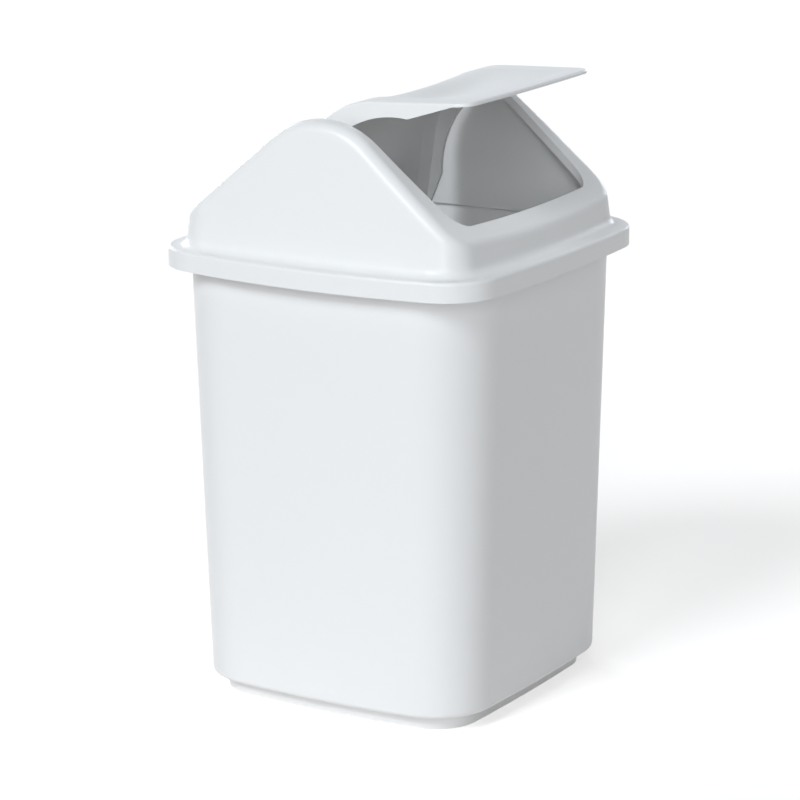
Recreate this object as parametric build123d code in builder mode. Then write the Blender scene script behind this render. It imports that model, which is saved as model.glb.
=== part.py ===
"""Countertop waste bin with a lift-off hood and a two-way swing flap.

Three mouldings: a tapered bin on a set-in foot, a gabled hood whose skirt drops over the bin's
rim, and a two-winged flap that hangs in the hood's mouth on two pins of its own.

Millimetres, +Z up. The origin is on the surface the bin stands on, under the middle of the bin.
The hood's gables face -Y and +Y, so its ridge and the flap's pins run along Y, and the two
mouths face +X and -X. The flap is modelled swung open, with its +X wing lifted.
"""

import os
from math import asin, atan2, cos, hypot, radians, sin, tan

from build123d import *

# ---------------------------------------------------------------- bin
rim_length = 172.8         # X, outside, over the rim's turned-down edge
rim_width = 177.8          # Y, the same
rim_corner = 24.5
rim_end_turn = 13.0        # degrees that the -Y and +Y edges turn from mid-length to the corner
rim_side_turn = 5.6        # the same for the -X and +X edges
rim_height = 214.8
rim_thickness = 2.0
rim_edge_drop = 5.0        # how far the turned-down edge reaches below the rim's top
rim_edge_wall = 1.6

base_setback_x = 11.05     # from the rim's edge in to the foot of the wall
base_setback_y = 11.4
base_corner = 29.0
base_end_turn = 8.4        # degrees, as for the rim
base_side_turn = 3.6
base_edge_radius = 2.5
bin_draft = 1.65           # degrees from vertical
bin_wall = 2.0
floor_thickness = 2.4
foot_height = 7.3
foot_inset = 7.6           # from the wall in to the foot
foot_ring_width = 4.0      # the ring that touches the table
foot_recess = 2.0          # the floor's underside is this far above the table

# ---------------------------------------------------------------- hood
hood_wall = 1.8
skirt_clearance = 0.3      # skirt to the rim's edge
skirt_drop = 7.5           # how far the skirt reaches below the rim's top
flange_edge_radius = 1.6
dome_setback_x = 7.1       # from the rim's edge in to the dome's wall, at the level of the rim
dome_setback_y = 7.6
dome_root_radius = 5.0
dome_draft = 7.6           # degrees from vertical
dome_corner = 18.0
dome_end_turn = 6.0        # degrees that each gable turns from its middle to the corner
dome_side_turn = 5.6       # the same for the walls under the slopes
dome_edge_radius = 6.0     # where the slopes turn into the walls
ridge_radius = 41.0
ridge_rise = 66.0          # from the rim up to the top of the ridge
eave_rise = 13.46          # from the rim up to where a slope meets its wall

mouth_setback_x = 10.1     # in plan, from the dome's wall in to the mouth
mouth_setback_y = 17.2
mouth_corner = 11.0
mouth_end_turn = 6.2       # degrees
mouth_side_turn = 2.9
mouth_lip_wall = 1.6
mouth_lip_drop = 2.0       # how far the lip round the mouth reaches below the roof's underside

# ---------------------------------------------------------------- swing flap
flap_wall = 1.8
flap_tip_clearance = 3.9   # free edge to the mouth's edge, in plan
flap_side_clearance = 4.0  # side of the flap to the mouth's edge, at the ridge
flap_side_taper = 3.2      # each side draws in by this much from the ridge to the free edge
flap_tip_bow = 1.5
flap_corner = 8.0
flap_edge_radius = 1.2
skirt_corner_reach = 35.5  # X, in plan, from the pivot to the lowest point of a side skirt
skirt_corner_drop = 20.0   # below the pivot
skirt_arch_drop = 3.2      # middle of the arch under the pins, below the pivot
skirt_end_setback = 8.3    # in plan, from the free edge to where a side skirt runs out
open_angle = 43.0          # degrees from closed

scoop_border = 14.6        # from the flap's side in to the scoop, at the ridge
scoop_spread = 1.12        # the scoop's section is drawn this much wider than the scoop
scoop_headroom = 12.0
# Way down the roof line, 0 at the ridge and 1 at the free edge; depth at mid-width; height of
# the scoop's two sides
scoop_stations = (
    (0, 1.5, 0),
    (0.10, 1.5, 0),
    (0.20, 2.0, 0),
    (0.31, 4.8, 0),
    (0.42, 6.3, 0),
    (0.56, 4.9, 0),
    (0.75, 2.8, 0),
    (0.90, 0.9, 0.2),
    (1.05, -1.4, 1.6),
)

# ---------------------------------------------------------------- pivot
pivot_drop = 7.4           # from the top of the ridge down to the middle of the pins
pin_radius = 2.5
pin_clearance = 0.05       # radial, pin in socket
pin_end_gap = 0.6
socket_depth = 7.0
boss_radius = 4.6
boss_clearance = 1.0       # boss face to the flap's side skirt


def bowed_outline(length, width, corner, end_turn, side_turn, inset=0):
    """Rectangle whose four sides are arcs that swell outward, with round corners.

    Each half of a side turns by end_turn (-Y and +Y sides) or side_turn (-X and +X sides), in
    degrees. All of the outline can be drawn in by inset, or out when inset is negative.
    """
    x, y = length / 2, width / 2
    end_rise, side_rise = tan(radians(end_turn / 2)), tan(radians(side_turn / 2))
    end_bow = end_rise * (x - y * side_rise) / (1 - end_rise * side_rise)
    side_bow = side_rise * (y - end_bow)
    end_radius = (x - side_bow) / sin(radians(end_turn))
    side_radius = (y - end_bow) / sin(radians(side_turn))
    with BuildSketch() as outline:
        with Locations((0, y - end_radius)):
            Circle(end_radius - inset)
        with Locations((0, end_radius - y)):
            Circle(end_radius - inset, mode=Mode.INTERSECT)
        with Locations((side_radius - x, 0)):
            Circle(side_radius - inset, mode=Mode.INTERSECT)
        with Locations(Location((x - side_radius, 0), 180)):
            Circle(side_radius - inset, mode=Mode.INTERSECT)
        fillet(outline.vertices(), corner - inset)
    return outline.sketch


def base_outline(inset):
    """The bin's outline where its wall meets the foot, drawn in by inset all round."""
    return bowed_outline(base_length, base_width, base_corner, base_end_turn, base_side_turn,
                         inset)


def rim_outline(inset):
    """The outline of the rim's turned-down edge, drawn in by inset all round."""
    return bowed_outline(rim_length, rim_width, rim_corner, rim_end_turn, rim_side_turn, inset)


def drafted(outline, bottom, height, angle):
    """Solid on an outline, its walls leaning out by angle, in degrees, or in when it is negative."""
    with BuildPart() as form:
        with BuildSketch(Plane.XY.offset(bottom)):
            add(outline)
        extrude(amount=height)
        walls = form.faces().filter_by(Axis.Z, reverse=True)
        draft(walls, Plane.XY.offset(bottom), -angle)
    return form.part


# ---------------------------------------------------------------- bin
base_length = rim_length - 2 * base_setback_x
base_width = rim_width - 2 * base_setback_y
well_floor = foot_recess + floor_thickness
shelf_floor = foot_height + floor_thickness
wall_spread = tan(radians(bin_draft))

with BuildPart() as bin_body:
    add(drafted(base_outline(0), foot_height, rim_height - foot_height, bin_draft))
    fillet(bin_body.faces().sort_by(Axis.Z)[0].edges(), base_edge_radius)

    # Foot, set in from the wall.
    with BuildSketch():
        add(base_outline(foot_inset))
    extrude(amount=shelf_floor)

    # Rim, turned out from the wall and down at its edge.
    with BuildSketch(Plane.XY.offset(rim_height)):
        add(rim_outline(0))
    extrude(amount=-rim_edge_drop)
    with BuildSketch(Plane.XY.offset(rim_height - rim_thickness)):
        add(rim_outline(rim_edge_wall))
        add(base_outline((foot_height - rim_height + rim_thickness) * wall_spread), mode=Mode.SUBTRACT)
    extrude(amount=rim_thickness - rim_edge_drop, mode=Mode.SUBTRACT)

    # Hollow, down to the shelf over the foot and then down into the foot.
    shelf_inset = bin_wall - (shelf_floor - foot_height) * wall_spread
    add(drafted(base_outline(shelf_inset), shelf_floor, rim_height - shelf_floor, bin_draft),
        mode=Mode.SUBTRACT)
    with BuildSketch(Plane.XY.offset(well_floor)):
        add(base_outline(foot_inset + bin_wall))
    extrude(amount=shelf_floor - well_floor, mode=Mode.SUBTRACT)

    # Underside, raised inside the ring that touches the table.
    with BuildSketch():
        add(base_outline(foot_inset + foot_ring_width))
    extrude(amount=foot_recess, mode=Mode.SUBTRACT)

bin_body.part.label = "bin"

# ---------------------------------------------------------------- hood
flange_outset = skirt_clearance + hood_wall
flange_top = rim_height + hood_wall
skirt_bottom = rim_height - skirt_drop

dome_length = rim_length - 2 * dome_setback_x
dome_width = rim_width - 2 * dome_setback_y
wall_lean = tan(radians(dome_draft))
ridge_height = rim_height + ridge_rise
ridge_center = ridge_height - ridge_radius
pivot_height = ridge_height - pivot_drop

# Each slope runs from the eave to touch the ridge's arc.
eave_reach = dome_length / 2 - eave_rise * wall_lean
eave_drop = ridge_center - rim_height - eave_rise
slope = atan2(eave_drop, eave_reach) + asin(ridge_radius / hypot(eave_drop, eave_reach))
slope_peak = ridge_center + ridge_radius / cos(slope)   # where the two slopes would cross
beyond = rim_length                                     # further out than any part of the hood


def roof_section(inset):
    """Everything under the hood's roof line, in the XZ plane, drawn in by inset."""
    radius = ridge_radius - inset
    ridge_end = (radius * sin(slope), ridge_center + radius * cos(slope))
    peak = slope_peak - inset / cos(slope)
    eave = (beyond, peak - beyond * tan(slope))
    with BuildSketch() as section:
        with BuildLine():
            ThreePointArc((-ridge_end[0], ridge_end[1]), (0, ridge_center + radius), ridge_end)
            Polyline(ridge_end, eave, (-eave[0], eave[1]), (-ridge_end[0], ridge_end[1]))
        make_face()
    return section.sketch


def dome_outline(inset):
    """The dome's outline at the level of the rim, drawn in by inset all round."""
    return bowed_outline(dome_length, dome_width, dome_corner, dome_end_turn, dome_side_turn,
                         inset)


def roof_faces(form):
    """The faces of a form that lie on the roof: the ridge and its slopes."""
    return [face for face in form.faces() if face.normal_at().Z > cos(slope) / 2]


def edges_round(faces):
    """The edges round a run of roof faces, without those where a slope runs into the ridge."""
    return [edge for edge in ShapeList(faces).edges()
            if edge.geom_type != GeomType.LINE or abs(edge.tangent_at().Y) < cos(slope)]


def dome(inset):
    """The hood above its flange as a solid, with every face drawn in by inset."""
    with BuildPart() as form:
        add(drafted(dome_outline(inset), rim_height, ridge_rise, -dome_draft))
        with BuildSketch(Plane.XZ):
            add(roof_section(inset))
        extrude(amount=beyond, both=True, mode=Mode.INTERSECT)
        fillet(edges_round(roof_faces(form)), dome_edge_radius - inset)
    return form.part


mouth_length = dome_length - 2 * mouth_setback_x
mouth_width = dome_width - 2 * mouth_setback_y
gable_at_pivot = dome_width / 2 - (ridge_rise - pivot_drop) * wall_lean
flap_half_width = mouth_width / 2 - flap_side_clearance
boss_face = flap_half_width + boss_clearance
boss_root = gable_at_pivot - hood_wall / 2


def mouth_outline(inset):
    """The mouth's outline in plan, drawn in by inset all round."""
    return bowed_outline(mouth_length, mouth_width, mouth_corner, mouth_end_turn,
                         mouth_side_turn, inset)


with BuildPart() as mouth_lip:
    with BuildSketch(Plane.XY.offset(rim_height)):
        add(mouth_outline(-mouth_lip_wall))
    extrude(amount=ridge_rise)
    add(dome(hood_wall / 2), mode=Mode.INTERSECT)
    add(dome(hood_wall + mouth_lip_drop), mode=Mode.SUBTRACT)

with BuildPart() as hood_lid:
    # Flange, with the dome standing on it.
    with BuildSketch(Plane.XY.offset(skirt_bottom)):
        add(rim_outline(-flange_outset))
    extrude(amount=flange_top - skirt_bottom)
    fillet(hood_lid.faces().sort_by(Axis.Z)[-1].edges(), flange_edge_radius)
    add(dome(0))
    ledge = [face for face in hood_lid.faces().filter_by(Axis.Z) if face.inner_wires()][0]
    fillet(ledge.inner_wires()[0].edges(), dome_root_radius)

    # Inside of the skirt, which drops over the rim's lip, and inside of the dome.
    with BuildSketch(Plane.XY.offset(skirt_bottom)):
        add(rim_outline(-skirt_clearance))
    extrude(amount=skirt_drop, mode=Mode.SUBTRACT)
    add(dome(hood_wall), mode=Mode.SUBTRACT)

    # Mouth, cut straight down through the roof, with a lip under its edge.
    add(mouth_lip.part)
    with BuildSketch(Plane.XY.offset(rim_height)):
        add(mouth_outline(0))
    extrude(amount=ridge_rise, mode=Mode.SUBTRACT)

    # Sockets for the flap's pins, one inside each gable.
    for side in (-1, 1):
        with BuildSketch(Plane.XZ.offset(side * boss_face)):
            with Locations((0, pivot_height)):
                Circle(boss_radius)
        extrude(amount=side * (boss_root - boss_face))
        with BuildSketch(Plane.XZ.offset(side * boss_face)):
            with Locations((0, pivot_height)):
                Circle(pin_radius + pin_clearance)
        extrude(amount=side * socket_depth, mode=Mode.SUBTRACT)

hood_lid.part.label = "hood"

# ---------------------------------------------------------------- swing flap
wing_reach = mouth_length / 2 - flap_tip_clearance      # X, in plan, of the free edge when closed
wing_length = wing_reach / cos(slope)                   # down the slope from where the slopes cross
wing_plane = Plane(origin=(0, 0, slope_peak), x_dir=(cos(slope), 0, -sin(slope)),
                   z_dir=(sin(slope), 0, cos(slope)))
ridge_offset = (slope_peak - ridge_height) * sin(slope)   # the ridge's own place on that plane
arc_length = ridge_radius * slope                         # from the ridge to where a slope begins
roof_length = arc_length + wing_length - ridge_radius * tan(slope)   # from ridge to free edge
scoop_half_width = flap_half_width - scoop_border
pivot_axis = Axis((0, 0, pivot_height), (0, -1, 0))


def wing(inset):
    """The +X half of the space under the closed flap's top, every face drawn in by inset."""
    widest = flap_half_width - inset
    narrowest = widest - flap_side_taper
    tip = wing_length - inset
    shoulder = tip - flap_tip_bow
    back = 2 * ridge_offset - shoulder
    with BuildPart() as form:
        with BuildSketch(wing_plane) as outline:
            with BuildLine():
                ThreePointArc((shoulder, -narrowest), (tip, 0), (shoulder, narrowest))
                ThreePointArc((shoulder, narrowest), (ridge_offset, widest), (back, narrowest))
                Line((back, narrowest), (back, -narrowest))
                ThreePointArc((back, -narrowest), (ridge_offset, -widest), (shoulder, -narrowest))
            make_face()
            fillet(outline.vertices().group_by(Axis.X)[-1], flap_corner - inset)
        extrude(amount=beyond, both=True)
        with BuildSketch(Plane.XZ):
            add(roof_section(inset))
        extrude(amount=beyond, both=True, mode=Mode.INTERSECT)
        split(bisect_by=Plane.YZ, keep=Keep.TOP)
    return form.part


def roof_station(way):
    """Plane square to the roof line, with its Y axis outward, way down it towards +X.

    The way is 0 at the ridge, 1 at the free edge of the +X wing and -1 at that of the -X wing.
    """
    reach = way * roof_length
    turn = min(abs(reach), arc_length) / ridge_radius
    along = max(abs(reach) - arc_length, 0)
    side = 1 if reach >= 0 else -1
    x = side * (ridge_radius * sin(turn) + along * cos(slope))
    z = ridge_center + ridge_radius * cos(turn) - along * sin(slope)
    return Plane(origin=(x, 0, z), x_dir=(0, 1, 0), z_dir=(cos(turn), 0, -side * sin(turn)))


def scoop(growth):
    """The hollow scooped out of both wings and the ridge, grown by growth."""
    with BuildPart() as form:
        mirrored = [(-way, depth, lift) for way, depth, lift in scoop_stations[:0:-1]]
        for way, depth, lift in mirrored + list(scoop_stations):
            sag = depth + lift
            radius = (scoop_half_width ** 2 + sag ** 2) / (2 * sag)
            edge = scoop_half_width * scoop_spread
            center = radius - depth
            rise = center - ((radius + growth) ** 2 - edge ** 2) ** 0.5
            with BuildSketch(roof_station(way)):
                with BuildLine():
                    ThreePointArc((-edge, rise), (0, -depth - growth), (edge, rise))
                    Polyline((edge, rise), (edge, scoop_headroom), (-edge, scoop_headroom),
                             (-edge, rise))
                make_face()
        loft()
    return form.part


with BuildPart() as flap_block:
    add(wing(0))
    fillet(edges_round(roof_faces(flap_block)), flap_edge_radius)
    mirror(about=Plane.YZ)

with BuildPart() as flap_backing:
    add(scoop(flap_wall))
    add(flap_block.part, mode=Mode.INTERSECT)

with BuildPart() as closed_flap:
    add(flap_block.part)

    # Lower edge of the side skirts: an arch under the pins, then a straight run out to each wing.
    corner = (skirt_corner_reach, pivot_height - skirt_corner_drop)
    underside_peak = slope_peak - flap_wall / cos(slope)
    skirt_end = wing_reach - skirt_end_setback
    run_out = (skirt_end, underside_peak - skirt_end * tan(slope))
    far_out = (beyond, underside_peak - beyond * tan(slope))
    with BuildSketch(Plane.XZ):
        with BuildLine():
            ThreePointArc((-corner[0], corner[1]), (0, pivot_height - skirt_arch_drop), corner)
            Polyline(corner, run_out, far_out, (-far_out[0], far_out[1]),
                     (-run_out[0], run_out[1]), (-corner[0], corner[1]))
        make_face()
    extrude(amount=beyond, both=True, mode=Mode.SUBTRACT)

    # Inside of the skirts and wings, backing for the scoop, and the scoop itself.
    hollow = wing(flap_wall)
    add(hollow, mode=Mode.SUBTRACT)
    add(hollow.mirror(Plane.YZ), mode=Mode.SUBTRACT)
    add(flap_backing.part)
    add(scoop(0), mode=Mode.SUBTRACT)

    # Pivot pins, standing out from the skirts.
    for side in (-1, 1):
        with BuildSketch(Plane.XZ.offset(side * (flap_half_width - flap_wall / 2))):
            with Locations((0, pivot_height)):
                Circle(pin_radius)
        extrude(amount=side * (flap_wall / 2 + boss_clearance + socket_depth - pin_end_gap))

with BuildPart() as swing_flap:
    add(closed_flap.part.rotate(pivot_axis, open_angle))

swing_flap.part.label = "swing flap"

os.makedirs("parts", exist_ok=True)
export_step(bin_body.part, "parts/bin_body.step")
export_step(hood_lid.part, "parts/hood_lid.step")
export_step(swing_flap.part, "parts/swing_flap.step")
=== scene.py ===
"""Countertop swing-lid bin: satin white plastic finishes, floor, light and camera."""

import math

import bmesh
import bpy
from mathutils import Matrix, Vector


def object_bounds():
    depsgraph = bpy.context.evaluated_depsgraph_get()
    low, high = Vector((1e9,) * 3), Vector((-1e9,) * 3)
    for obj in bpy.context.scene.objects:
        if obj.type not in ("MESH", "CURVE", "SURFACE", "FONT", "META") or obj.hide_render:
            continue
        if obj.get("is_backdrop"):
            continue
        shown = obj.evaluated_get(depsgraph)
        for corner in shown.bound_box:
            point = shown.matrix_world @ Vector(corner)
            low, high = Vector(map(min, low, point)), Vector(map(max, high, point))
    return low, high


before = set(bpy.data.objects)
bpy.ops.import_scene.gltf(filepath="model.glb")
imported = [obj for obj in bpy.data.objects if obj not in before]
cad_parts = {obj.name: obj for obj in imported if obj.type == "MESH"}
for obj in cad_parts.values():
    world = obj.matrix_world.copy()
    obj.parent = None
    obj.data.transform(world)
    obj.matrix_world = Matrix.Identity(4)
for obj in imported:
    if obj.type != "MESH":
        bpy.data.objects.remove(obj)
cad_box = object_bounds()

# ---------------------------------------------------------------- camera, floor and light
SENSOR_WIDTH = 36.0                 # millimetres
LENS = 153.31                       # millimetres
CAMERA_YAW = math.radians(31.634)
CAMERA_PITCH = math.radians(14.625)
CAMERA_ROLL = math.radians(-0.433)
CAMERA_DISTANCE = 1.62111           # metres, from here on
AIM_HEIGHT = 0.140
AIM_SIDE = -0.00124
AIM_RISE = -0.00437

FLOOR_HALF = 6.0
FLOOR_WHITE = (0.90, 0.87, 0.85, 1.0)
FLOOR_GLOW = 0.48                   # what brings the floor up to white where a ray sees it
SKY_LEVEL = 0.05
DAYLIGHT = (0.912, 0.957, 1.0)
SOFTBOX_ANGLE = math.radians(20)    # how wide each light looks from the bin
# Name, azimuth and elevation that the light comes from, in degrees, and its level
SOFTBOXES = (
    ("left high", 262, 40, 1.46),
    ("front", 295, 28, 0.62),
    ("front low", 302, 12, 0.56),
    ("behind", 150, 12, 1.42),
    ("far side", 90, 12, 0.46),
    ("top", 0, 86, 0.24),
)

# ---------------------------------------------------------------- plastic
PLASTIC_WHITE = (0.925, 0.920, 0.910)
PLASTIC_DEEP = 0.90                 # the darker tint, as a share of the white
DEEP_SHARE = 0.30                   # how much of the darker tint there is on average
PLASTIC_IOR = 1.49
NOISE_MIDDLE = 0.5                  # a noise pattern runs from 0 to 1
GRAIN_SCALE = 900.0                 # per metre, like the two below
CLOUD_SCALE = 14.0
FLOW_SCALE = (60.0, 60.0, 6.0)      # drawn out along Z, the way the plastic fills the mould
CLOUD_SHIFT = 0.020                 # how far each pattern shifts the surface from its average
FLOW_SHIFT = 0.006
GRAIN_SHIFT = 0.010
TINT_PER_SHIFT = 4.0
ROUGHNESS_PER_SHIFT = 2.0
BUMP_STRENGTH = 0.10
BUMP_DEPTH = 0.0001                 # metres
GRAIN_BUMP = 0.8                    # shares of the bump's height
FLOW_BUMP = 0.2
# Node, name of its finish, and roughness
FINISHES = (
    ("bin_body", "bin_satin_white", 0.36),
    ("hood_lid", "hood_satin_white", 0.34),
    ("swing_flap", "flap_satin_white", 0.30),
)


# ---------------------------------------------------------------- shader expressions
class Shade:
    """A material's node tree, with values that add their own Math nodes."""

    def __init__(self, tree):
        self.tree = tree
        tree.nodes.clear()

    def node(self, kind, settings=None, outputs=0, **sockets):
        """Adds a node, sets its settings first and then its sockets, and wraps one output.

        A socket is named with underscores for spaces, or as i and its number.
        """
        made = self.tree.nodes.new(kind)
        for name, value in (settings or {}).items():
            setattr(made, name, value)
        for name, value in sockets.items():
            by_number = name[0] == "i" and name[1:].isdigit()
            key = int(name[1:]) if by_number else name.replace("_", " ")
            self.feed(made.inputs[key], value)
        return Value(self, made.outputs[outputs]) if len(made.outputs) else made

    def feed(self, socket, value):
        if isinstance(value, Value):
            self.tree.links.new(value.socket, socket)
        else:
            socket.default_value = value

    def maths(self, operation, *values):
        return self.node("ShaderNodeMath", {"operation": operation},
                         **{f"i{i}": v for i, v in enumerate(values)})


class Value:
    """One output of a node, usable in arithmetic."""

    def __init__(self, shade, socket):
        self.shade = shade
        self.socket = socket

    def __add__(self, other):
        return self.shade.maths("ADD", self, other)

    def __radd__(self, other):
        return self.shade.maths("ADD", other, self)

    def __sub__(self, other):
        return self.shade.maths("SUBTRACT", self, other)

    def __rsub__(self, other):
        return self.shade.maths("SUBTRACT", other, self)

    def __mul__(self, other):
        return self.shade.maths("MULTIPLY", self, other)


# ---------------------------------------------------------------- satin plastic
def satin_plastic(name, roughness):
    """Moulded satin plastic: a fine even grain, a slow cloudiness and a few faint flow marks."""
    material = bpy.data.materials.new(name)
    material.use_nodes = True
    shade = Shade(material.node_tree)
    place = shade.node("ShaderNodeTexCoord", outputs=3)
    grain = shade.node("ShaderNodeTexNoise", Vector=place, Scale=GRAIN_SCALE, Detail=2.0,
                       Roughness=0.5)
    cloud = shade.node("ShaderNodeTexNoise", Vector=place, Scale=CLOUD_SCALE, Detail=3.0,
                       Roughness=0.45)
    flow_place = shade.node("ShaderNodeMapping", Vector=place, Scale=FLOW_SCALE)
    flow = shade.node("ShaderNodeTexNoise", Vector=flow_place, Scale=1.0, Detail=2.0)
    shift = ((cloud - NOISE_MIDDLE) * CLOUD_SHIFT + (flow - NOISE_MIDDLE) * FLOW_SHIFT
             + (grain - NOISE_MIDDLE) * GRAIN_SHIFT)
    pale = PLASTIC_WHITE + (1.0,)
    deep = tuple(c * PLASTIC_DEEP for c in PLASTIC_WHITE) + (1.0,)
    tint = shade.node("ShaderNodeMix", {"data_type": "RGBA"}, outputs=2,
                      i0=DEEP_SHARE - shift * TINT_PER_SHIFT, i6=pale, i7=deep)
    bump = shade.node("ShaderNodeBump", Strength=BUMP_STRENGTH, Distance=BUMP_DEPTH,
                      Height=grain * GRAIN_BUMP + flow * FLOW_BUMP)
    surface = shade.node("ShaderNodeBsdfPrincipled", Base_Color=tint,
                         Roughness=roughness + shift * ROUGHNESS_PER_SHIFT, Normal=bump,
                         IOR=PLASTIC_IOR)
    shade.node("ShaderNodeOutputMaterial", Surface=surface)
    return material


for node, finish, roughness in FINISHES:
    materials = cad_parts[node].data.materials
    materials.clear()
    materials.append(satin_plastic(finish, roughness))


# ---------------------------------------------------------------- floor and light
def seen_white(shade):
    """1 on camera, glossy and transmission rays, 0 on the rays that light matt surfaces."""
    rays = shade.tree.nodes.new("ShaderNodeLightPath")
    camera, glossy, through = (Value(shade, rays.outputs[name]) for name in
                               ("Is Camera Ray", "Is Glossy Ray", "Is Transmission Ray"))
    return shade.maths("MINIMUM", camera + glossy + through, 1.0)


def pale_floor():
    """Matt floor with its own glow on the rays that see it, so that it shows white."""
    material = bpy.data.materials.new("pale_floor")
    material.use_nodes = True
    shade = Shade(material.node_tree)
    matt = shade.node("ShaderNodeBsdfDiffuse", Color=FLOOR_WHITE)
    glow = shade.node("ShaderNodeEmission", Color=(1.0, 1.0, 1.0, 1.0),
                      Strength=seen_white(shade) * FLOOR_GLOW)
    both = shade.node("ShaderNodeAddShader", i0=matt, i1=glow)
    shade.node("ShaderNodeOutputMaterial", Surface=both)
    return material


mesh = bpy.data.meshes.new("floor")
floor_bm = bmesh.new()
bmesh.ops.create_grid(floor_bm, x_segments=1, y_segments=1, size=FLOOR_HALF)
floor_bm.to_mesh(mesh)
floor_bm.free()
floor = bpy.data.objects.new("floor", mesh)
bpy.context.scene.collection.objects.link(floor)
floor.data.materials.append(pale_floor())
floor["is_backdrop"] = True

world = bpy.data.worlds.new("room")
world.use_nodes = True
bpy.context.scene.world = world
room = Shade(world.node_tree)
level = SKY_LEVEL + seen_white(room) * (1.0 - SKY_LEVEL)
backdrop = room.node("ShaderNodeBackground", Color=DAYLIGHT + (1.0,), Strength=level)
room.node("ShaderNodeOutputWorld", Surface=backdrop)

for name, azimuth, elevation, strength in SOFTBOXES:
    light = bpy.data.lights.new(name, "SUN")
    light.energy = strength
    light.color = DAYLIGHT
    light.angle = SOFTBOX_ANGLE
    turn, lift = math.radians(azimuth), math.radians(elevation)
    source = Vector((math.cos(turn) * math.cos(lift), math.sin(turn) * math.cos(lift),
                     math.sin(lift)))
    light_object = bpy.data.objects.new(name, light)
    light_object.rotation_euler = source.to_track_quat("Z", "Y").to_euler()
    bpy.context.scene.collection.objects.link(light_object)

# ---------------------------------------------------------------- camera
right = Vector((math.cos(CAMERA_YAW), math.sin(CAMERA_YAW), 0))
ahead = Vector((-math.sin(CAMERA_YAW) * math.cos(CAMERA_PITCH),
                math.cos(CAMERA_YAW) * math.cos(CAMERA_PITCH),
                -math.sin(CAMERA_PITCH)))
up = right.cross(ahead)
across = math.cos(CAMERA_ROLL) * right + math.sin(CAMERA_ROLL) * up
upward = math.cos(CAMERA_ROLL) * up - math.sin(CAMERA_ROLL) * right
eye = (Vector((0, 0, AIM_HEIGHT)) + AIM_SIDE * across + AIM_RISE * upward
       - CAMERA_DISTANCE * ahead)
camera = bpy.data.cameras.new("camera")
camera.sensor_width = SENSOR_WIDTH
camera.lens = LENS
camera_object = bpy.data.objects.new("camera", camera)
camera_object.matrix_world = Matrix((
    (across.x, upward.x, -ahead.x, eye.x),
    (across.y, upward.y, -ahead.y, eye.y),
    (across.z, upward.z, -ahead.z, eye.z),
    (0, 0, 0, 1),
))
bpy.context.scene.collection.objects.link(camera_object)
bpy.context.scene.camera = camera_object
bpy.context.scene.view_settings.view_transform = "Standard"

boxes = {"cad": cad_box, "visual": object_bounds()}
boxes = {name: [[float(c) for c in corner] for corner in box] for name, box in boxes.items()}
